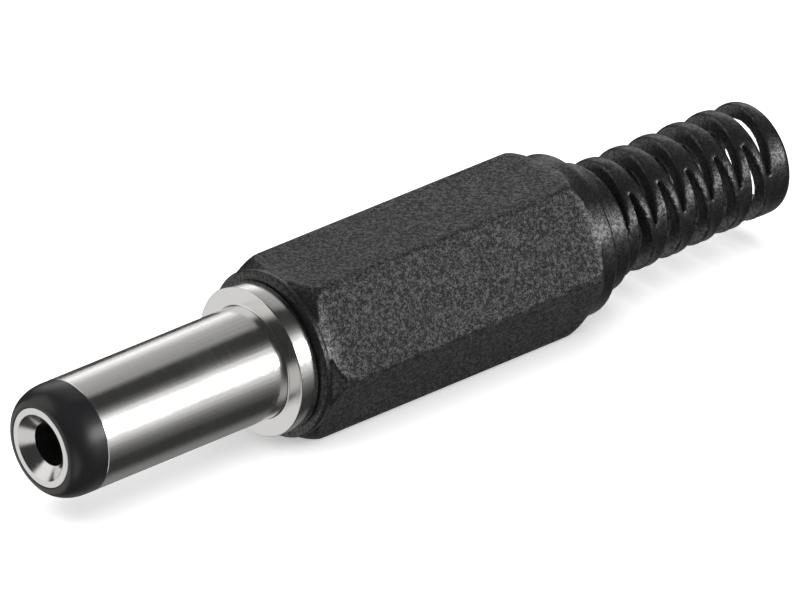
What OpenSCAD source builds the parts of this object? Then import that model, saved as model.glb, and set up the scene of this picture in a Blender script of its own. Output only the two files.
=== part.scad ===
// DC barrel plug, 5.5 x 2.1 mm, with a screw-on hexagonal cover and slotted kink guard.
// The plug's axis lies along X, its mouth at -X. The origin is on the axis, at the collar's front face.

/* [Barrel] */
// Outer diameter of the barrel
barrel_d = 5.5; // [5:0.1:6]
// Length from the collar's front face to the mouth, nose included
barrel_len = 13.1; // [9.5:0.1:14]
// Bore of the metal sleeve, which holds the insulating bush
sleeve_bore_d = 4.5; // [4.3:0.05:4.6]
// Diameter of the collar
collar_d = 7.1; // [6.6:0.1:7.3]
// Thickness of the collar
collar_t = 0.85; // [0.6:0.05:1.2]
// Bevel on the collar's two rims
collar_bevel = 0.06; // [0.02:0.01:0.12]

/* [Threaded shank] */
// Crest diameter of the thread behind the collar
thread_d = 6; // [5.8:0.1:6.2]
// Pitch of the thread
thread_pitch = 0.75; // [0.5:0.05:1]
// Depth of the thread
thread_depth = 0.35; // [0.2:0.05:0.45]
// Number of thread turns
thread_turns = 8; // [5:1:9]
// Length of the plain relief between collar and thread
relief_len = 0.6; // [0.3:0.1:1]
// Wall of the staking spigot behind the thread
spigot_wall = 0.2; // [0.15:0.01:0.22]
// Height of the staked rim behind the sleeve lug
spigot_rim = 0.15; // [0.1:0.05:0.3]

/* [Nose] */
// Length of the insulating nose in front of the barrel
nose_len = 1.8; // [1:0.1:2.5]
// Width of the flat ring between the contact's head and the nose's rounding
nose_face = 0.03; // [0.01:0.01:0.3]
// How far the nose's rounding reaches along the axis
nose_round_len = 1.45; // [0.5:0.05:1.7]

/* [Centre contact] */
// Bore of the centre contact, which takes the socket's pin
pin_bore_d = 2.1; // [1.95:0.05:2.5]
// Outer diameter of the contact's tube
contact_d = 2.7; // [2.6:0.05:3.1]
// Diameter of the contact's head in the mouth
head_d = 3.9; // [3.5:0.1:4.1]
// Length of the contact's head
head_len = 0.9; // [0.6:0.1:1.2]
// Outer diameter of the countersink in the mouth
countersink_d = 3.25; // [2.9:0.05:3.4]
// Depth of the countersink
countersink_depth = 0.55; // [0.3:0.05:0.8]
// How far the swaged rim at the contact's rear end reaches over the centre lug
swage_reach = 0.35; // [0.2:0.05:0.45]
// Thickness of the swaged rim
swage_t = 0.25; // [0.15:0.05:0.4]

/* [Solder lugs] */
// Sheet thickness of the sleeve lug
lug_t = 0.5; // [0.4:0.02:0.52]
// How far the sleeve lug lies inside the thread's crests
lug_inset = 0.05; // [0.02:0.01:0.06]
// Angle that the lug's arm covers about the axis
arm_angle = 62; // [45:1:80]
// Length of the arm between the ring and the cable clamp
arm_len = 5.2; // [4.6:0.1:7]
// Angle that the open cable clamp covers about the axis
clamp_angle = 214; // [180:2:240]
// Length of the cable clamp
clamp_len = 3.8; // [2.5:0.1:5]
// Diameter of the solder hole in the sleeve lug
lug_hole_d = 1.3; // [1:0.1:1.6]
// Thickness of the insulating washer
washer_t = 0.6; // [0.4:0.1:0.8]
// Radial room between the insulating washer and the sleeve lug's arm
washer_room = 0.15; // [0.05:0.01:0.25]
// Sheet thickness of the centre lug
tag_t = 0.35; // [0.25:0.05:0.45]
// Width of the centre lug's solder tag
tag_w = 1.8; // [1.4:0.1:2]
// Length of the solder tag behind the ring
tag_len = 4; // [3:0.1:5]
// Diameter of the solder hole in the tag
tag_hole_d = 0.9; // [0.7:0.1:1]

/* [Cover grip] */
// Distance across the hexagon's flats
hex_af = 7.9; // [7.7:0.1:8.3]
// Rounding of the hexagon's long edges
hex_edge_r = 0.2; // [0.1:0.05:0.4]
// Gap between the collar and the cover when the cover is screwed home
cover_gap = 0.08; // [0.05:0.01:0.3]
// Diameter of the round lip at the front
lip_d = 8.1; // [8:0.05:8.3]
// Length of the round lip
lip_len = 0.4; // [0.3:0.05:0.6]
// Radius of the lip's front rounding
lip_r = 0.22; // [0.1:0.02:0.3]
// Radius of the turned rounding on the hexagon's front corners
front_round = 1.15; // [0.8:0.05:1.3]
// Radius of the turned rounding on the hexagon's rear corners
rear_round = 1.05; // [0.8:0.05:1.2]
// Free length in the cavity behind the cable clamp
cavity_room = 0.35; // [0.2:0.05:2]
// Length of the round shoulder behind the hexagon
shoulder_len = 0.5; // [0.3:0.05:0.8]
// Radius of the shoulder's rear rounding
shoulder_r = 0.28; // [0.1:0.02:0.3]
// Radial clearance between the thread and the cover's bore
thread_gap = 0.05; // [0.02:0.01:0.1]
// Thickness of the wall at the rear end of the cavity
end_wall = 1.6; // [1.2:0.1:2]

/* [Kink guard] */
// Diameter of the cable's passage
cable_d = 4.1; // [3.6:0.1:4.2]
// Diameter of the plain neck behind the shoulder
neck_d = 6.4; // [6:0.1:6.8]
// Length of the plain neck
neck_len = 1.85; // [1.6:0.05:2.2]
// Diameter over the first rib
guard_root_d = 5.75; // [5.5:0.05:6]
// Diameter over the last rib
guard_end_d = 5.45; // [5.3:0.05:5.7]
// Depth of the rounded valleys between ribs
valley_depth = 0.13; // [0.05:0.01:0.18]
// Distance between slots of one row
slot_pitch = 1.75; // [1.6:0.05:1.9]
// Number of slots in the upper row
upper_slots = 6; // [3:1:8]
// Position of the first upper slot behind the shoulder
first_slot = 1.65; // [1.5:0.05:1.8]
// Width of a slot at its narrow end
slot_tip = 0.16; // [0.1:0.02:0.3]
// Angle that a slot opens by
slot_taper = 15; // [8:1:18]
// How far a slot reaches past the middle of the guard
slot_reach = 0.78; // [0.4:0.02:1]
// Length of the plain ring behind the last slot's middle
end_ring = 1.2; // [1:0.05:1.6]
// Radius of the rounding on the end ring
end_round = 0.3; // [0.1:0.05:0.4]

/* [Hidden] */
// Radial clearance drawn between pieces that are pushed together
snug = 0.02;
// Overshoot of a cutting tool past the face that it cuts
over = 1;
// Direction about the axis of the upper slots' open side, from +Y
slot_dir = 60;
// Straight steps in the arc of a turned rounding
arc_steps = 10;
// Straight steps in one wave of the kink guard's outside
wave_steps = 8;
$fn = 96;

mouth_x = -barrel_len;
barrel_x = mouth_x + nose_len;
thread_x = collar_t + relief_len;
thread_len = thread_turns * thread_pitch;
shank_x = thread_x + thread_len;
lug_x = shank_x + lug_t;
rim_x = lug_x + spigot_rim;
washer_x = rim_x + washer_t;
tag_x = washer_x + tag_t;
contact_x = tag_x + swage_t;
clamp_x = lug_x + arm_len;
lug_end_x = clamp_x + clamp_len;

core_d = thread_d - 2 * thread_depth;
spigot_d = sleeve_bore_d + 2 * spigot_wall;
stem_d = sleeve_bore_d - 2 * snug;
nose_round_r = (barrel_d - head_d) / 2 - snug - nose_face;
swage_d = contact_d + 2 * swage_reach;
tag_ring_d = swage_d + 4 * snug + 2 * tag_t;
lug_d = thread_d - 2 * lug_inset;
lug_inner_d = lug_d - 2 * lug_t;
washer_d = lug_inner_d - 2 * washer_room;

cover_bore_d = thread_d + 2 * thread_gap;
cover_start = collar_t + cover_gap;
lip_x = cover_start + lip_len;
lip_fall = lip_r / 4;
cavity_x = lug_end_x + cavity_room;
shoulder_x = cavity_x + end_wall;
hex_x = shoulder_x - shoulder_len;
hex_corner_r = (hex_af / 2 - hex_edge_r) / cos(30) + hex_edge_r;
neck_x = shoulder_x + neck_len;
slot_x = shoulder_x + first_slot;
last_slot_x = slot_x + (upper_slots - 1) * slot_pitch;
guard_x = last_slot_x + end_ring;

// Points on an arc about [x, r], from one angle to another, with its own reach along each direction
function arc(x, r, reach_x, reach_r, from, to) =
    [for (i = [0 : arc_steps])
        let (a = from + (to - from) * i / arc_steps)
        [x + reach_x * cos(a), r + reach_r * sin(a)]];

// Outer radius over the ribs at a place along the guard, in rounded waves of one pitch
function guard_r(x) =
    let (along = (x - slot_x) / (last_slot_x - slot_x))
    let (wave = (x - slot_x) / slot_pitch)
    let (u = 2 * (wave - floor(wave)) - 1)
    (guard_root_d + (guard_end_d - guard_root_d) * along) / 2 - valley_depth * u * u;

// Turns a half profile of [x, radius] points about the X axis
module turned(points) {
    rotate([0, 90, 0])
        rotate_extrude()
            polygon([for (p = points) [p[1], p[0]]]);
}

// Round bar along X between two places
module bar(d, from, to) {
    translate([from, 0, 0])
        rotate([0, 90, 0])
            cylinder(d = d, h = to - from);
}

// Space about the axis that an angle centred on the underside leaves free
module open_side(angle, from, to) {
    reach = 2 * lug_d;
    points = [for (i = [0 : 6])
        let (a = angle / 2 + (360 - angle) * i / 6)
        reach * [cos(a), sin(a)]];
    translate([from, 0, 0])
        rotate([0, 90, 0])
            linear_extrude(to - from)
                polygon(concat([[0, 0]], points));
}

// Barrel, collar, threaded shank and staking spigot, turned from one brass bar
module sleeve_contact() {
    crest_r = thread_d / 2;
    core_r = core_d / 2;
    rim_r = collar_d / 2;
    flat = thread_pitch / 8;
    thread = [for (i = [0 : thread_turns - 1])
        let (x = thread_x + i * thread_pitch)
        each [[x + flat, core_r], [x + thread_pitch / 2 - flat, crest_r],
              [x + thread_pitch / 2 + flat, crest_r], [x + thread_pitch - flat, core_r]]];
    outline = concat(
        [[barrel_x, barrel_d / 2], [0, barrel_d / 2]],
        [[0, rim_r - collar_bevel], [collar_bevel, rim_r]],
        [[collar_t - collar_bevel, rim_r], [collar_t, rim_r - collar_bevel]],
        [[collar_t, core_r]],
        thread,
        [[shank_x, core_r], [shank_x, spigot_d / 2]],
        [[rim_x - spigot_rim / 2, spigot_d / 2], [rim_x, spigot_d / 2 - spigot_rim / 2]],
        [[rim_x, sleeve_bore_d / 2], [barrel_x, sleeve_bore_d / 2]]
    );
    color("lightgray")
        turned(outline);
}

// Moulded insulator: rounded nose in front of the barrel and a long stem through the sleeve
module insulating_bush() {
    nose_r = barrel_d / 2;
    seat_x = mouth_x + head_len;
    hole_r = contact_d / 2 + snug;
    outline = concat(
        [[mouth_x, head_d / 2 + snug]],
        arc(mouth_x + nose_round_len, nose_r - nose_round_r, nose_round_len, nose_round_r, 180, 90),
        [[barrel_x, nose_r], [barrel_x, stem_d / 2]],
        [[rim_x, stem_d / 2], [rim_x, hole_r]],
        [[seat_x, hole_r], [seat_x, head_d / 2 + snug]]
    );
    color([0.08, 0.08, 0.09])
        turned(outline);
}

// Tubular centre contact: countersunk head in the mouth, rear end swaged over the centre lug
module centre_contact() {
    head_r = head_d / 2;
    bore_r = pin_bore_d / 2;
    outline = [
        [mouth_x, countersink_d / 2],
        [mouth_x, head_r],
        [mouth_x + head_len, head_r],
        [mouth_x + head_len, contact_d / 2],
        [tag_x, contact_d / 2],
        [tag_x, swage_d / 2],
        [contact_x - swage_t / 2, swage_d / 2],
        [contact_x, swage_d / 2 - swage_t / 2],
        [contact_x, bore_r],
        [mouth_x + countersink_depth, bore_r]
    ];
    color("silver")
        turned(outline);
}

// Sleeve lug: pierced ring staked to the shank, curved arm with a solder hole, open cable clamp
module sleeve_lug() {
    color("gainsboro")
        difference() {
            bar(lug_d, shank_x, lug_end_x);
            bar(lug_inner_d, lug_x, lug_end_x + over);
            bar(spigot_d + 2 * snug, shank_x - over, lug_x + over);
            open_side(arm_angle, lug_x, clamp_x);
            open_side(clamp_angle, clamp_x, lug_end_x + over);
            translate([lug_x + arm_len / 2, 0, -lug_d])
                cylinder(d = lug_hole_d, h = lug_d);
        }
}

// Fibre washer between the two lugs
module insulating_washer() {
    color("sienna")
        difference() {
            bar(washer_d, rim_x, washer_x);
            bar(contact_d + 2 * snug, rim_x - over, washer_x + over);
        }
}

// Centre lug: ring on the contact's rear end and a round-ended solder tag bent backwards
module centre_lug() {
    top = tag_ring_d / 2;
    end_x = tag_x + tag_len;
    color("gainsboro")
        difference() {
            union() {
                bar(tag_ring_d, washer_x, tag_x);
                translate([washer_x, -tag_w / 2, top - tag_t])
                    cube([end_x - washer_x - tag_w / 2, tag_w, tag_t]);
                translate([end_x - tag_w / 2, 0, top - tag_t])
                    cylinder(d = tag_w, h = tag_t);
            }
            bar(contact_d + 2 * snug, washer_x - over, tag_x + over);
            translate([end_x - tag_w / 2, 0, 0])
                cylinder(d = tag_hole_d, h = lug_d);
        }
}

// Hexagonal prism along X with rounded long edges, two flats level
module hex_bar(from, to) {
    corner_r = hex_corner_r - hex_edge_r;
    points = [for (corner = [0 : 5])
        each [for (i = [-2 : 2])
            let (a = 60 * corner + 15 * i)
            [-corner_r * sin(60 * corner) - hex_edge_r * sin(a),
             corner_r * cos(60 * corner) + hex_edge_r * cos(a)]]];
    translate([from, 0, 0])
        rotate([0, 90, 0])
            linear_extrude(to - from)
                polygon(points);
}

// Turned outside of the grip: lip, rounding onto the hexagon's corners at both ends, shoulder
module grip_envelope() {
    front_r = hex_corner_r - front_round;
    rear_r = hex_corner_r - rear_round;
    front_a = 180 - asin((lip_d / 2 - lip_fall - front_r) / front_round);
    rear_a = asin((hex_af / 2 - rear_r) / rear_round);
    front_x = lip_x - front_round * cos(front_a);
    rear_x = hex_x - rear_round * cos(rear_a);
    turned(concat(
        [[lip_x, 0]],
        arc(front_x, front_r, front_round, front_round, front_a, 90),
        arc(rear_x, rear_r, rear_round, rear_round, 90, rear_a),
        [[hex_x, 0]]
    ));
}

// Round pieces of the grip: glossy lip in front, shoulder and plain neck behind
module grip_rounds() {
    lip = lip_d / 2;
    shoulder = hex_af / 2;
    turned(concat(
        [[cover_start, 0]],
        arc(cover_start + lip_r, lip - lip_r, lip_r, lip_r, 180, 90),
        [[lip_x, lip], [lip_x + lip_fall, lip - lip_fall], [lip_x + lip_fall, 0]]
    ));
    turned(concat(
        [[hex_x, 0], [hex_x, shoulder]],
        arc(shoulder_x - shoulder_r, shoulder - shoulder_r, shoulder_r, shoulder_r, 90, 0),
        [[shoulder_x, neck_d / 2], [neck_x, neck_d / 2], [neck_x, 0]]
    ));
}

// Ribbed outside of the kink guard, tapering towards its rounded end ring
module guard_body() {
    waves = [for (i = [0 : (upper_slots - 1) * wave_steps]) slot_x + i * slot_pitch / wave_steps];
    end_r = guard_end_d / 2;
    turned(concat(
        [[shoulder_x, 0], [shoulder_x, guard_root_d / 2 - valley_depth]],
        [for (x = waves) [x, guard_r(x)]],
        [[last_slot_x + slot_pitch / 4, end_r]],
        arc(guard_x - end_round, end_r - end_round, end_round, end_round, 90, 0),
        [[guard_x, 0]]
    ));
}

// One wedge-shaped slot across the guard, open towards +Z before it is turned about the axis
module slot(x) {
    top = guard_root_d;
    half = slot_tip / 2;
    spread = half + (top + slot_reach) * tan(slot_taper / 2);
    translate([x, 0, 0])
        rotate([90, 0, 0])
            linear_extrude(2 * guard_root_d, center = true)
                polygon([[-half, -slot_reach], [half, -slot_reach], [spread, top], [-spread, top]]);
}

// Two interleaved rows of slots that open on opposite sides and reach past each other
module slots() {
    rotate([slot_dir - 90, 0, 0])
        for (i = [0 : upper_slots - 1])
            slot(slot_x + i * slot_pitch);
    rotate([slot_dir + 90, 0, 0])
        for (i = [0 : upper_slots - 2])
            slot(slot_x + (i + 0.5) * slot_pitch);
}

// Cover: hexagonal grip and slotted kink guard in one flexible moulding, open right through
module cover() {
    color([0.12, 0.12, 0.13])
        difference() {
            union() {
                intersection() {
                    hex_bar(cover_start, hex_x);
                    grip_envelope();
                }
                grip_rounds();
                guard_body();
            }
            bar(cover_bore_d, cover_start - over, cavity_x);
            bar(cable_d, cavity_x - over, guard_x + over);
            slots();
        }
}

sleeve_contact();
insulating_bush();
centre_contact();
sleeve_lug();
insulating_washer();
centre_lug();
cover();
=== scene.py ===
"""Looks of a DC barrel plug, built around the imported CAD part.

The part's lengths are millimetres until a mesh is made; the studio and the camera are in metres. The
plug's axis is X, with the mouth at -X. Angles about the axis count from +Y towards +Z.
"""

import math

import bpy
import numpy as np
from mathutils import Matrix, Vector


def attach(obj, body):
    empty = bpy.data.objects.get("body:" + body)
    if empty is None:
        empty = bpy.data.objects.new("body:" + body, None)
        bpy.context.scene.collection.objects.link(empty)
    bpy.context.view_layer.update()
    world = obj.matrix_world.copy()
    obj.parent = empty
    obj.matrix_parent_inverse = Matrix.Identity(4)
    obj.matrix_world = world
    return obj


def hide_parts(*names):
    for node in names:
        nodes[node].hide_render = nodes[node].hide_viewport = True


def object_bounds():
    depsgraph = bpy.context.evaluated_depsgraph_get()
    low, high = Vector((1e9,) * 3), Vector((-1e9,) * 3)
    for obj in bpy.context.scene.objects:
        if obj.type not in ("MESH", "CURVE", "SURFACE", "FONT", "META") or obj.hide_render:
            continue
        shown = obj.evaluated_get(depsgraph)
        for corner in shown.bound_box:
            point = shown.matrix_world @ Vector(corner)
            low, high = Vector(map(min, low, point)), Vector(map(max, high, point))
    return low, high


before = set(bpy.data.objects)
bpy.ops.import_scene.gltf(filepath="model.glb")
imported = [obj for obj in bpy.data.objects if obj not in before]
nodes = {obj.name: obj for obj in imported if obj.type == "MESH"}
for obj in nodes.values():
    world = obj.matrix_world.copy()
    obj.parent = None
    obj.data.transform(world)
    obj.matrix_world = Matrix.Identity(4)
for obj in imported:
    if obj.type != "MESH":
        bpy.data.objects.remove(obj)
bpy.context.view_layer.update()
scene = bpy.context.scene

MM = 0.001


# ---------------------------------------------------------------- node materials

class Mat:
    """A node material with a Principled shader, and short helpers to wire its inputs."""

    def __init__(self, name, color, rough, metal=0.0):
        self.m = bpy.data.materials.new(name)
        self.m.use_nodes = True
        self.t = self.m.node_tree
        self.n = self.t.nodes
        self.p = self.n["Principled BSDF"]
        self.p.inputs["Base Color"].default_value = (*color, 1)
        self.p.inputs["Roughness"].default_value = rough
        self.p.inputs["Metallic"].default_value = metal

    def add(self, kind, **settings):
        node = self.n.new(kind)
        for key, value in settings.items():
            if key in node.inputs:
                node.inputs[key].default_value = value
            else:
                setattr(node, key, value)
        return node

    def link(self, a, b):
        self.t.links.new(a, b)

    def coords(self, scale=(1, 1, 1)):
        tex = self.add("ShaderNodeTexCoord")
        mapping = self.add("ShaderNodeMapping")
        mapping.inputs["Scale"].default_value = scale
        self.link(tex.outputs["Object"], mapping.inputs["Vector"])
        return mapping.outputs[0]

    def noise(self, vector, scale, detail=3.0, rough=0.5):
        node = self.add("ShaderNodeTexNoise")
        node.inputs["Scale"].default_value = scale
        node.inputs["Detail"].default_value = detail
        node.inputs["Roughness"].default_value = rough
        self.link(vector, node.inputs["Vector"])
        return node.outputs["Fac"]

    def math(self, op, a, b=None, clamp=False):
        node = self.add("ShaderNodeMath", operation=op, use_clamp=clamp)
        for i, value in enumerate((a, b)):
            if value is None:
                continue
            if isinstance(value, (int, float)):
                node.inputs[i].default_value = value
            else:
                self.link(value, node.inputs[i])
        return node.outputs[0]

    def mix(self, a, b, share_a, share_b):
        return self.math("ADD", self.math("MULTIPLY", a, share_a), self.math("MULTIPLY", b, share_b))

    def ramp(self, value, stops):
        node = self.add("ShaderNodeValToRGB")
        el = node.color_ramp.elements
        while len(el) < len(stops):
            el.new(0.5)
        for e, (at, c) in zip(el, stops):
            e.position = at
            e.color = (*c, 1) if hasattr(c, "__len__") else (c, c, c, 1)
        self.link(value, node.inputs["Fac"])
        return node.outputs["Color"]

    def remap(self, value, lo, hi, to_lo, to_hi):
        node = self.add("ShaderNodeMapRange")
        self.link(value, node.inputs["Value"])
        for key, v in zip(("From Min", "From Max", "To Min", "To Max"), (lo, hi, to_lo, to_hi)):
            node.inputs[key].default_value = v
        return node.outputs[0]

    def bump(self, height, distance, strength=1.0):
        node = self.add("ShaderNodeBump")
        node.inputs["Distance"].default_value = distance
        node.inputs["Strength"].default_value = strength
        self.link(height, node.inputs["Height"])
        if getattr(self, "last_bump", None):
            self.link(self.last_bump, node.inputs["Normal"])
        self.last_bump = node.outputs[0]
        self.link(self.last_bump, self.p.inputs["Normal"])


def nickel():
    """Bright nickel with fine turning lines round the axis."""
    m = Mat("nickel_plate", (0.82, 0.81, 0.795), 0.17, 1.0)
    lines = m.noise(m.coords((16000, 700, 700)), 1.0, 2.0)
    soft = m.noise(m.coords((300, 1200, 1200)), 1.0, 3.0)
    mixed = m.mix(lines, soft, 0.6, 0.4)
    m.link(m.remap(mixed, 0.35, 0.65, 0.13, 0.24), m.p.inputs["Roughness"])
    m.bump(lines, 0.0035 * MM, 0.6)
    m.bump(soft, 0.006 * MM, 0.3)
    return m.m


def insulator():
    """Glossy black plastic of the nose."""
    m = Mat("black_insulator", (0.010, 0.010, 0.011), 0.28)
    soft = m.noise(m.coords((700, 700, 700)), 1.0, 3.0)
    m.link(m.remap(soft, 0.3, 0.7, 0.22, 0.36), m.p.inputs["Roughness"])
    m.bump(soft, 0.012 * MM, 0.35)
    return m.m


def tinned():
    """Dull tin on the solder lugs, with faint drawing lines along the axis."""
    m = Mat("tinned_brass", (0.62, 0.61, 0.58), 0.34, 1.0)
    grain = m.noise(m.coords((900, 5200, 5200)), 1.0, 3.0)
    m.link(m.remap(grain, 0.3, 0.7, 0.26, 0.42), m.p.inputs["Roughness"])
    m.bump(grain, 0.004 * MM, 0.4)
    return m.m


def fibre():
    """Red-brown hard fibre of the washer."""
    m = Mat("fibre", (0.28, 0.09, 0.04), 0.7)
    grain = m.noise(m.coords((6000, 2500, 2500)), 1.0, 4.0)
    dark, light = (0.20, 0.055, 0.022), (0.34, 0.12, 0.055)
    m.link(m.ramp(grain, [(0.3, dark), (0.7, light)]), m.p.inputs["Base Color"])
    m.bump(grain, 0.01 * MM, 0.4)
    return m.m


def eroded_zone(m, x, y, z):
    """1 on the hexagon's outside, 0 on the lip, the rear end, the guard and the bore."""
    radius = m.math("SQRT", m.math("ADD", m.math("POWER", y, 2.0), m.math("POWER", z, 2.0)))
    behind_lip = m.remap(x, 1.5 * MM, 2.3 * MM, 0.0, 1.0)
    before_end = m.remap(x, 17.3 * MM, 18.0 * MM, 1.0, 0.0)
    outside = m.remap(radius, 3.3 * MM, 3.6 * MM, 0.0, 1.0)
    return m.math("MULTIPLY", m.math("MULTIPLY", behind_lip, before_end), outside)


def weld_seam(m, x, y, z):
    """0 on two fine weld marks across the lip, at 60 degrees and opposite, and 1 elsewhere."""
    turn = math.radians(60)
    across, along = m.math("MULTIPLY", y, math.sin(turn)), m.math("MULTIPLY", z, math.cos(turn))
    apart = m.math("ABSOLUTE", m.math("SUBTRACT", across, along))
    beside = m.remap(apart, 0.02 * MM, 0.05 * MM, 0.0, 1.0)
    behind = m.remap(x, 1.25 * MM, 1.4 * MM, 0.0, 1.0)
    return m.math("MAXIMUM", beside, behind)


def moulding():
    """Spark-eroded black plastic on the grip, smoother on the lip, rounded ends and kink guard."""
    m = Mat("black_moulding", (0.020, 0.020, 0.021), 0.5)
    at = m.coords()
    mixed = m.mix(m.noise(at, 13000.0, 2.0, 0.6), m.noise(at, 5200.0, 2.0, 0.5), 0.6, 0.4)
    place = m.add("ShaderNodeSeparateXYZ")
    m.link(at, place.inputs[0])
    eroded = eroded_zone(m, *place.outputs)
    seam = weld_seam(m, *place.outputs)
    speck = m.math("MULTIPLY", m.remap(mixed, 0.50, 0.66, 0.0, 0.05), eroded)
    tone = m.math("MULTIPLY", m.math("ADD", speck, 0.008), seam)
    shade = m.add("ShaderNodeCombineColor")
    for channel in range(3):
        m.link(tone, shade.inputs[channel])
    m.link(shade.outputs[0], m.p.inputs["Base Color"])
    m.link(m.remap(eroded, 0.0, 1.0, 0.32, 0.50), m.p.inputs["Roughness"])
    m.link(m.remap(mixed, 0.44, 0.58, 0.2, 1.0), m.p.inputs["Specular IOR Level"])
    height = m.math("MULTIPLY", mixed, m.remap(eroded, 0.0, 1.0, 0.16, 1.0))
    m.bump(m.math("MULTIPLY", height, m.remap(seam, 0.0, 1.0, 0.4, 1.0)), 0.1 * MM, 0.9)
    return m.m


def paint(obj, material):
    obj.data.materials.clear()
    obj.data.materials.append(material)


NICKEL, INSULATOR, TINNED, FIBRE, MOULDING = nickel(), insulator(), tinned(), fibre(), moulding()
for name, material in {
    "sleeve_contact": NICKEL, "centre_contact": NICKEL, "insulating_bush": INSULATOR,
    "sleeve_lug": TINNED, "centre_lug": TINNED, "insulating_washer": FIBRE, "cover": MOULDING,
}.items():
    paint(nodes[name], material)


# ---------------------------------------------------------------- sizes, in millimetres

# along the axis
MOUTH_X, BARREL_X = -12.85, -11.05
COLLAR_X, COLLAR_REAR = -0.17, 0.88
THREAD_X, THREAD_TURNS, PITCH = 1.45, 8, 0.75
SPIGOT_X, SPIGOT_REAR = 7.45, 8.1
HEAD_LEN, SINK_DEPTH, TUBE_REAR, SWAGE_T = 0.9, 0.55, 9.05, 0.25

# radii
BARREL_R, BORE_R, COLLAR_R = 2.75, 2.25, 3.65
CREST_R, CORE_R, SPIGOT_R = 3.0, 2.65, 2.45
HEAD_R, SINK_R, TUBE_R, PIN_R, SWAGE_R = 1.95, 1.625, 1.35, 1.05, 1.70

# gap between bush and metal, rounded or bevelled edges, and where the collar's flat face ends
FIT, BUSH_EDGE = 0.02, 0.02
BARREL_EDGE, COLLAR_FOOT, COLLAR_EDGE, COLLAR_FLAT, FOOT_BEVEL = 0.03, 0.1, 0.06, 0.07, 0.05
SPIGOT_EDGE, NOSE_ROUND_LEN, NOSE_FACE, HEAD_EDGE, SWAGE_EDGE = 0.08, 1.4, 0.03, 0.05, 0.12


def add_mesh(name, verts, faces, material, angle=30):
    """A smooth-shaded object from millimetres, with edges sharper than the angle left sharp."""
    mesh = bpy.data.meshes.new(name)
    mesh.from_pydata([[v * MM for v in p] for p in verts], [], faces)
    mesh.update()
    mesh.shade_smooth()
    mesh.set_sharp_from_angle(angle=math.radians(angle))
    obj = bpy.data.objects.new(name, mesh)
    scene.collection.objects.link(obj)
    paint(obj, material)
    return obj


def lathe(name, outline, material, steps=128):
    """A closed outline of (x, radius) turned about X; a radius may be a function of the angle."""
    verts, faces, n = [], [], len(outline)
    for x, r in outline:
        for k in range(steps):
            a = 2 * math.pi * k / steps
            radius = r(a) if callable(r) else r
            verts.append((x, radius * math.cos(a), radius * math.sin(a)))
    for i in range(n):
        j = (i + 1) % n
        for k in range(steps):
            m = (k + 1) % steps
            faces.append((i * steps + k, j * steps + k, j * steps + m, i * steps + m))
    return add_mesh(name, verts, faces, material)


def arc(x, r, reach_x, reach_r, start, stop, steps=12):
    """Points of an outline on an arc about (x, r), from one angle in degrees to another."""
    turn = [math.radians(start + (stop - start) * i / steps) for i in range(steps + 1)]
    return [(x + reach_x * math.cos(a), r + reach_r * math.sin(a)) for a in turn]


# ---------------------------------------------------------------- contacts

# rows of points a turn, length over which the thread fades in and out, slope and flat of its flanks
THREAD_ROWS, RUN_OUT, FLANK, ROOT = 15, 0.3, 2 * 1.35, 0.15


def thread_radius(x):
    """Radius of the helical thread at x, as a function of the angle about the axis."""
    end = THREAD_X + THREAD_TURNS * PITCH
    fade = max(0.0, min(1.0, (x - THREAD_X) / RUN_OUT, (end - x) / RUN_OUT))

    def radius(a):
        u = ((x - THREAD_X) / PITCH - a / (2 * math.pi)) % 1.0
        rise = max(0.0, min(1.0, (0.5 - abs(u - 0.5)) * FLANK - ROOT))
        return CORE_R + (CREST_R - CORE_R) * rise * fade
    return radius


def sleeve():
    """Barrel, collar, threaded shank and staking spigot, with the bore right through."""
    rows = THREAD_ROWS * THREAD_TURNS
    thread = [THREAD_X + i * THREAD_TURNS * PITCH / rows for i in range(rows + 1)]
    rim_r = COLLAR_R - COLLAR_EDGE
    outline = [(BARREL_X, BORE_R), (BARREL_X, BARREL_R - BARREL_EDGE), (BARREL_X + BARREL_EDGE, BARREL_R)]
    outline += arc(COLLAR_X - COLLAR_FOOT, BARREL_R + COLLAR_FOOT, COLLAR_FOOT, COLLAR_FOOT, -90, 0, 5)
    outline += [(COLLAR_X, COLLAR_R - COLLAR_FLAT)]
    outline += arc(COLLAR_X + COLLAR_EDGE, rim_r, COLLAR_EDGE, COLLAR_EDGE, 180, 90, 4)[1:]
    outline += arc(COLLAR_REAR - COLLAR_EDGE, rim_r, COLLAR_EDGE, COLLAR_EDGE, 90, 0, 4)
    outline += [(COLLAR_REAR, CORE_R + FOOT_BEVEL), (COLLAR_REAR + FOOT_BEVEL, CORE_R)]
    outline += [(x, thread_radius(x)) for x in thread]
    outline += [(SPIGOT_X, SPIGOT_R), (SPIGOT_REAR - SPIGOT_EDGE, SPIGOT_R)]
    outline += [(SPIGOT_REAR, SPIGOT_R - SPIGOT_EDGE), (SPIGOT_REAR, BORE_R)]
    return lathe("turned_sleeve", outline, NICKEL)


def bush():
    """Rounded nose and the stem behind it, hollow for the pin tube."""
    nose_r = (BARREL_R - HEAD_R) - FIT - NOSE_FACE
    seat_x = MOUTH_X + HEAD_LEN
    outline = [(MOUTH_X, HEAD_R + FIT)]
    outline += arc(MOUTH_X + NOSE_ROUND_LEN, BARREL_R - nose_r, NOSE_ROUND_LEN, nose_r, 180, 90, 16)
    outline += [(BARREL_X - BUSH_EDGE, BARREL_R), (BARREL_X, BARREL_R - BUSH_EDGE)]
    outline += [(BARREL_X, BORE_R - FIT)]
    outline += [(SPIGOT_REAR, BORE_R - FIT), (SPIGOT_REAR, TUBE_R + FIT)]
    outline += [(seat_x, TUBE_R + FIT), (seat_x, HEAD_R + FIT)]
    return lathe("nose_and_stem", outline, INSULATOR)


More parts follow.
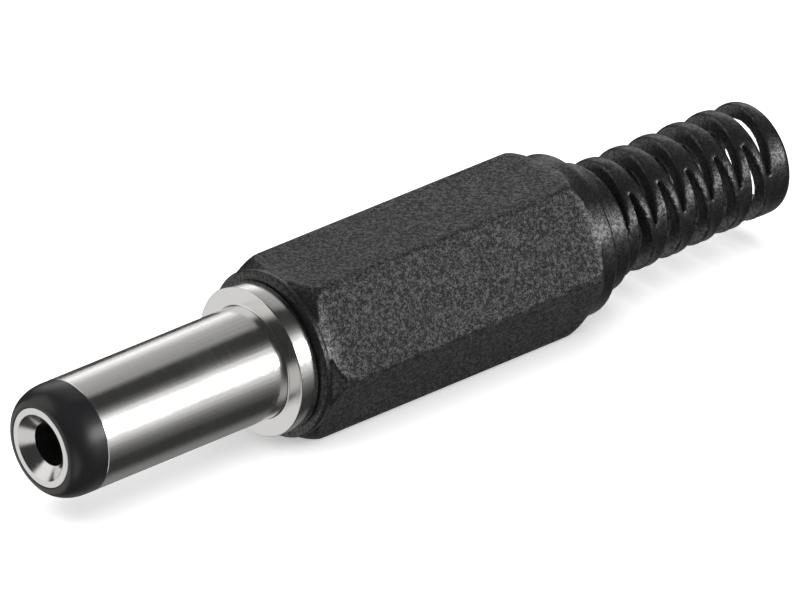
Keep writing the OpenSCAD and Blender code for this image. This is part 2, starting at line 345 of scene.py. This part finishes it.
def centre():
    """Pin tube with its countersunk head in the mouth and its swaged rear end."""
    seat_x = MOUTH_X + HEAD_LEN
    tag_x = TUBE_REAR - SWAGE_T
    outline = [(MOUTH_X, SINK_R)]
    outline += arc(MOUTH_X + HEAD_EDGE, HEAD_R - HEAD_EDGE, HEAD_EDGE, HEAD_EDGE, 180, 90, 4)
    outline += [(seat_x, HEAD_R), (seat_x, TUBE_R), (tag_x, TUBE_R), (tag_x, SWAGE_R)]
    outline += arc(TUBE_REAR - SWAGE_EDGE, SWAGE_R - SWAGE_EDGE, SWAGE_EDGE, SWAGE_EDGE, 90, 0, 4)
    outline += [(TUBE_REAR, PIN_R), (MOUTH_X + SINK_DEPTH, PIN_R)]
    return lathe("pin_tube", outline, NICKEL)


for build, node in ((sleeve, "sleeve_contact"), (bush, "insulating_bush"), (centre, "centre_contact")):
    piece = build()
    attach(piece, "contacts")
    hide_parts(node)


# ---------------------------------------------------------------- cover

FRONT_X, LIP_REAR, LIP_R, LIP_EDGE = 0.93, 1.36, 4.09, 0.16
HEX_FRONT, HEX_R, HEX_EDGE, HEX_SOFT = FRONT_X + 0.2, 3.975, 0.2, 0.11
DRAFT, DRAFT_X = 0.0025, 9.5
FRONT_ROUND, FRONT_ROUND_X = 1.15, LIP_REAR + 0.98
HEX_REAR, SHOULDER_X, SHOULDER_R, SHOULDER_EDGE = 18.05, 18.95, 3.99, 0.2
REAR_ROUND, REAR_ROUND_X = 1.05, HEX_REAR - 0.94
NECK_X, NECK_R, NECK_EDGE = 20.43, 3.2, 0.12
SHOULDER_ROOT, NECK_ROOT = HEX_REAR - 1.5, SHOULDER_X - 1
CAVITY_X, COVER_BORE, CABLE_R = 17.3, 3.05, 2.05
NUT_THREAD, NUT_ROOT = 0.07, 0.05
SLOT_X, SLOT_PITCH, UPPER_SLOTS = 20.58, 1.77, 6
SLOT_TIP, SLOT_REACH, SLOT_DIR = 0.14, 0.90, 60
FRONT_WALL, REAR_WALL = 2.5, 11.5
SLOT_TIP_SOFT, SLOT_EDGE_SOFT = 0.12, 0.12
RIB_FRONT_R, RIB_REAR_R, VALLEY, VALLEY_BACK = 2.95, 2.86, 0.13, 0.26
RING_R, RING_START, RING_BLEND = 2.76, 0.15, 0.5
TAIL_X, TAIL_SOFT, SAG, SAG_START = 30.92, 0.5, 0.13, 1.0

# widths over which two forms run into each other: a crisp joint, a plain one and a filleted one
CRISP, PLAIN, FILLET = 0.02, 0.03, 0.06
CORNER_SOFT, MOUTH_SOFT = 0.05, 0.08


def smax(a, b, k):
    """The larger of two distances, blended where they differ by less than k."""
    h = np.maximum(k - np.abs(a - b), 0.0) / k
    return np.maximum(a, b) + h * h * k * 0.25


def smin(a, b, k):
    """The smaller of two distances, blended in the same way."""
    return -smax(-a, -b, k)


def drum(x, r, start, stop, radius, edge):
    """Distance to a round bar with rounded rims."""
    qx = np.abs(x - (start + stop) / 2) - ((stop - start) / 2 - edge)
    qr = r - (radius - edge)
    return np.hypot(np.maximum(qx, 0), np.maximum(qr, 0)) + np.minimum(np.maximum(qx, qr), 0) - edge


def rounding(x, r, centre_x, centre_r, radius, side):
    """Turned limit that curves in beyond centre_x, towards -X or +X."""
    out = np.maximum((centre_x - x) * -side, 0)
    return np.hypot(out, np.maximum(r - centre_r, 0)) - radius


def grip(x, y, z, r):
    """Hexagon with soft long edges, both ends turned round, and the lip in front."""
    half = HEX_R + (DRAFT_X - x) * DRAFT
    hexagon = None
    for k in range(6):
        a = math.radians(30 + 60 * k)
        side = y * math.cos(a) + z * math.sin(a) - half
        hexagon = side if hexagon is None else smax(hexagon, side, HEX_SOFT)
    corner = (HEX_R - HEX_EDGE) / math.cos(math.pi / 6) + HEX_EDGE
    front = rounding(x, r, FRONT_ROUND_X, corner - FRONT_ROUND, FRONT_ROUND, -1)
    rear = rounding(x, r, REAR_ROUND_X, corner - REAR_ROUND, REAR_ROUND, 1)
    body = smax(smax(hexagon, front, CORNER_SOFT), rear, CORNER_SOFT)
    body = smax(body, x - HEX_REAR, CRISP)
    body = smax(body, HEX_FRONT - x, CRISP)
    return smin(body, drum(x, r, FRONT_X, LIP_REAR, LIP_R, LIP_EDGE), PLAIN)


def guard(x, r):
    """Ribbed and tapering outside of the kink guard, with a plain ring at its end."""
    last = SLOT_X + (UPPER_SLOTS - 1) * SLOT_PITCH
    along = np.clip((x - SLOT_X) / (last - SLOT_X), 0, 1)
    wave = np.cos((x - SLOT_X - VALLEY_BACK) * 2 * math.pi / SLOT_PITCH)
    ribs = RIB_FRONT_R + (RIB_REAR_R - RIB_FRONT_R) * along - VALLEY * (0.5 + 0.5 * wave)
    blend = np.clip((x - last - RING_START) / RING_BLEND, 0, 1)
    outside = ribs + (RING_R - ribs) * blend * blend * (3 - 2 * blend)
    return smax(r - outside, x - TAIL_X, TAIL_SOFT)


def slots(x, y, z):
    """Two rows of wedge slots on opposite sides, each a half pitch from the other row."""
    t1, t2 = math.tan(math.radians(FRONT_WALL)), math.tan(math.radians(REAR_WALL))
    cut = None
    for row, turn in ((0, 0), (1, 180)):
        a = math.radians(SLOT_DIR + turn)
        depth = y * math.cos(a) + z * math.sin(a) + SLOT_REACH
        for i in range(UPPER_SLOTS - row):
            lx = x - (SLOT_X + (i + 0.5 * row) * SLOT_PITCH)
            walls = np.maximum(-(lx + SLOT_TIP / 2) - depth * t1, (lx - SLOT_TIP / 2) - depth * t2)
            slot = smax(walls, -depth, SLOT_TIP_SOFT)
            cut = slot if cut is None else np.minimum(cut, slot)
    return cut


def hollow(x, y, z, r):
    """Threaded bore, cavity and the cable's passage."""
    turn = 2 * math.pi * ((x - THREAD_X) / PITCH) - np.arctan2(z, y)
    bore = COVER_BORE + np.where(x < SPIGOT_X, NUT_THREAD * np.cos(turn) + NUT_ROOT, 0.0)
    return np.minimum(np.maximum(r - bore, x - CAVITY_X), r - CABLE_R)


def cover_distance(x, y, z):
    """Distance to the cover's surface, negative inside the plastic."""
    body = grip(x, y, z, np.hypot(y, z))
    towards_tail = np.clip((TAIL_X - x) / (TAIL_X - NECK_X), 0, 1)
    z = z + SAG * towards_tail * np.clip((x - SHOULDER_X) / SAG_START, 0, 1)
    r = np.hypot(y, z)
    body = smin(body, drum(x, r, SHOULDER_ROOT, SHOULDER_X, SHOULDER_R, SHOULDER_EDGE), PLAIN)
    body = smin(body, drum(x, r, NECK_ROOT, NECK_X, NECK_R, NECK_EDGE), FILLET)
    body = smin(body, smax(guard(x, r), SHOULDER_X - x, CRISP), FILLET)
    body = smax(body, -hollow(x, y, z, r), MOUTH_SOFT)
    return smax(body, -slots(x, y, z), SLOT_EDGE_SOFT)


def crossings(value, grids, mixed, cell):
    """Mean place, in each mixed cell, of the points where the cell's edges meet the surface."""
    total = np.zeros((mixed.sum(), 3))
    hits = np.zeros(mixed.sum())
    for c in cell:
        for axis in range(3):
            if c[axis]:
                continue
            d = tuple(v + (1 if n == axis else 0) for n, v in enumerate(c))
            fa, fb = value[cell[c]][mixed], value[cell[d]][mixed]
            cross = (fa < 0) != (fb < 0)
            t = np.where(cross, fa / np.where(cross, fa - fb, 1.0), 0.0)
            pa = np.stack([g[cell[c]][mixed] for g in grids], 1)
            pb = np.stack([g[cell[d]][mixed] for g in grids], 1)
            total += (pa + (pb - pa) * t[:, None]) * cross[:, None]
            hits += cross
    return total / hits[:, None]


def settle(distance, points, steps=3, h=0.004, reach=0.04):
    """Moves points onto the surface along the distance's slope, by at most `reach` a step."""
    for _ in range(steps):
        here = distance(*points.T)
        slope = np.stack([
            (distance(*(points + shift).T) - distance(*(points - shift).T)) / (2 * h)
            for shift in np.eye(3) * h], 1)
        size = np.maximum((slope * slope).sum(1), 0.25)
        points += np.clip(-(here / size)[:, None] * slope, -reach, reach)
    return points


def net_quads(sign, index, axis):
    """Quads of the surface net round each grid edge along one axis that meets the surface."""
    u, v = (axis + 1) % 3, (axis + 2) % 3
    first = sign.take(range(sign.shape[axis] - 1), axis)
    second = sign.take(range(1, sign.shape[axis]), axis)
    at = np.argwhere(first != second)
    at = at[(at[:, u] > 0) & (at[:, v] > 0)]
    at = at[(at[:, u] < sign.shape[u] - 1) & (at[:, v] < sign.shape[v] - 1)]
    outward = first[tuple(at.T)]
    ring = []
    for du, dv in ((-1, -1), (0, -1), (0, 0), (-1, 0)):
        q = at.copy()
        q[:, u] += du
        q[:, v] += dv
        ring.append(index[tuple(q.T)])
    quad = np.stack(ring, 1)
    quad[~outward] = quad[~outward][:, ::-1]
    return quad


def surface_net(distance, xs, ys, zs):
    """Points and quads on the zero surface of a distance function, over a rectilinear grid."""
    grids = np.meshgrid(xs, ys, zs, indexing="ij")
    value = distance(*grids)
    sign = value < 0
    nx, ny, nz = (n - 1 for n in sign.shape)
    cell = {(i, j, k): (slice(i, i + nx), slice(j, j + ny), slice(k, k + nz))
            for i in (0, 1) for j in (0, 1) for k in (0, 1)}
    count = np.zeros((nx, ny, nz), dtype=np.int8)
    for part in cell.values():
        count += sign[part]
    mixed = (count > 0) & (count < 8)
    index = np.full(count.shape, -1, dtype=np.int64)
    index[mixed] = np.arange(mixed.sum())
    points = settle(distance, crossings(value, grids, mixed, cell))
    return points, np.concatenate([net_quads(sign, index, axis) for axis in range(3)])


def spaced(*stretches):
    """Grid places along a line, from (start, stop, step) stretches that meet."""
    places = []
    for start, stop, step in stretches:
        n = max(1, round((stop - start) / step))
        places += [start + (stop - start) * i / n for i in range(n)]
    return np.array(places + [stretches[-1][1]])


def moulded_cover():
    """The whole cover as one mesh, fine at both ends and coarse along the plain grip."""
    side = spaced((-4.81, 4.81, 0.125))
    xs = spaced((0.78, 2.6, 0.11), (2.6, 16.6, 0.5), (16.6, 18.3, 0.14), (18.3, 31.02, 0.105))
    points, quads = surface_net(cover_distance, xs, side, side)
    return add_mesh("moulded_cover", points.tolist(), quads.tolist(), MOULDING, 40)


cover_piece = moulded_cover()
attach(cover_piece, "cover")
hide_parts("cover")


# ---------------------------------------------------------------- studio

def direction(along, theta):
    """Unit vector at `along` on +X and at angle theta about X, from +Y."""
    r = math.sqrt(1 - along * along)
    return Vector((along, r * math.cos(math.radians(theta)), r * math.sin(math.radians(theta))))


def panel(name, axes, distance, width, height, radiance, glossy=True):
    """A rectangular softbox that faces the part, on its third axis, with its radiance given."""
    data = bpy.data.lights.new(name, "AREA")
    data.shape = "RECTANGLE"
    data.size, data.size_y = width, height
    data.energy = radiance * math.pi * width * height
    obj = bpy.data.objects.new(name, data)
    scene.collection.objects.link(obj)
    obj.matrix_world = Matrix.Translation(CENTRE + axes[2] * distance) @ Matrix(axes).transposed().to_4x4()
    obj.visible_glossy = glossy
    return obj


def strip(start, stop, radiance):
    """One step of a graded softbox, between two angles about the barrel's mirror cone."""
    theta = (start + stop) / 2
    towards = direction(MIRROR, theta)
    around = Vector((0, -math.sin(math.radians(theta)), math.cos(math.radians(theta))))
    half = math.radians(stop - start) / 2 * math.sqrt(1 - MIRROR ** 2)
    axes = (around.cross(towards), around, towards)
    panel("strip_%d" % start, axes, REACH, STRIP_LEN, 2 * REACH * math.tan(half), radiance)


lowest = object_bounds()[0].z
CENTRE = Vector((9.0 * MM, 0, 0))

# the barrel mirrors directions with this share along +X; softboxes are (start, stop, radiance) steps
MIRROR, REACH, STRIP_LEN = 0.575, 0.40, 0.36
RIM_BOX = (
    (6, 16, 0.70), (16, 33, 1.15), (33, 42, 0.80), (42, 54, 0.47), (54, 65, 0.41), (65, 75, 0.35),
    (75, 85, 0.31), (85, 90, 0.15),
)
FRONT_BOX = (
    (118, 125, 0.05), (125, 133, 0.20), (133, 140, 0.75), (140, 148, 0.9), (148, 172, 6.0),
    (172, 180, 0.8), (180, 188, 0.68), (188, 196, 0.46), (196, 205, 0.22), (205, 214, 0.11),
    (214, 224, 0.05),
)
for step in RIM_BOX + FRONT_BOX:
    strip(*step)

high = Vector((-0.25, -0.1, 1)).normalized()
level = high.cross(Vector((1, 0, 0))).normalized()
panel("overhead", (level.cross(high), level, high), 0.5, 0.7, 0.7, 3.0, glossy=False)


def patch(tree, view, towards, edge, core, radiance):
    """A soft bright patch of the surroundings, such as a white card, about one direction."""
    dot = tree.nodes.new("ShaderNodeVectorMath")
    dot.operation = "DOT_PRODUCT"
    dot.inputs[1].default_value = towards
    tree.links.new(view, dot.inputs[0])
    fade = tree.nodes.new("ShaderNodeMapRange")
    fade.interpolation_type = "SMOOTHSTEP"
    tree.links.new(dot.outputs["Value"], fade.inputs["Value"])
    for key, value in (("From Min", edge), ("From Max", core), ("To Min", 0.0), ("To Max", radiance)):
        fade.inputs[key].default_value = value
    return fade.outputs[0]


# cards that the collar's face and two sides of the countersink mirror, and a glow low on the barrel
DIM = 0.038
CARDS = (
    (Vector((-0.575, 0.666, -0.476)), 0.70, 0.88, 0.72),
    (Vector((-0.68, -0.54, -0.476)), 0.86, 0.96, 0.65),
    (Vector((-0.494, 0.666, 0.548)), 0.84, 0.95, 0.85),
    (direction(MIRROR, 300), 0.76, 0.98, 0.19),
)


def surroundings():
    """A dim world with the cards added up in it."""
    world = bpy.data.worlds.new("studio")
    world.use_nodes = True
    tree = world.node_tree
    view = tree.nodes.new("ShaderNodeTexCoord").outputs["Generated"]
    brightness = None
    for towards, edge, core, radiance in CARDS:
        add = tree.nodes.new("ShaderNodeMath")
        add.operation = "ADD"
        add.inputs[1].default_value = DIM
        if brightness is not None:
            tree.links.new(brightness, add.inputs[1])
        card = patch(tree, view, towards.normalized(), edge, core, radiance)
        tree.links.new(card, add.inputs[0])
        brightness = add.outputs[0]
    background = tree.nodes["Background"]
    tree.links.new(brightness, background.inputs["Strength"])
    background.inputs["Color"].default_value = (1, 1, 1, 1)
    world.cycles.sampling_method = "NONE"
    return world


scene.world = surroundings()


def paper_floor(half, height):
    """Plain pale table, slightly lit from within so that the shadow stays faint."""
    m = Mat("floor_paper", (0.86, 0.86, 0.86), 0.9)
    m.p.inputs["Specular IOR Level"].default_value = 0.0
    m.p.inputs["Emission Color"].default_value = (1, 1, 1, 1)
    m.p.inputs["Emission Strength"].default_value = 0.42
    mesh = bpy.data.meshes.new("floor")
    corners = [(-half, -half, height), (half, -half, height), (half, half, height), (-half, half, height)]
    mesh.from_pydata(corners, [], [(0, 1, 2, 3)])
    obj = bpy.data.objects.new("floor", mesh)
    scene.collection.objects.link(obj)
    paint(obj, m.m)
    obj.visible_glossy = False
    return obj


floor = paper_floor(3.0, lowest)


# ---------------------------------------------------------------- camera

BETA, ELEV = math.radians(40.8), math.radians(28.4)
DISTANCE, SENSOR, WIDTH_PX, PX_PER_MM = 1.22, 36, 800, 21.55
AIM_X, AIM_UP, AIM_LEFT = 9.016 * MM, 0.009 * MM, 0.035 * MM

right = Vector((math.cos(BETA), -math.sin(BETA), 0))
back = Vector((-math.sin(BETA) * math.cos(ELEV), -math.cos(BETA) * math.cos(ELEV), math.sin(ELEV)))
up = Vector((math.sin(BETA) * math.sin(ELEV), math.cos(BETA) * math.sin(ELEV), math.cos(ELEV)))
cam_data = bpy.data.cameras.new("camera")
cam_data.sensor_width = SENSOR
cam_data.lens = SENSOR * DISTANCE / (WIDTH_PX / PX_PER_MM * MM)
cam_data.clip_start, cam_data.clip_end = 0.05, 10
camera = bpy.data.objects.new("camera", cam_data)
scene.collection.objects.link(camera)
target = Vector((AIM_X, 0, 0)) + up * AIM_UP - right * AIM_LEFT
camera.location = target + back * DISTANCE
camera.rotation_mode = "QUATERNION"
camera.rotation_quaternion = back.to_track_quat("Z", "Y")
scene.camera = camera
scene.view_settings.view_transform = "Standard"
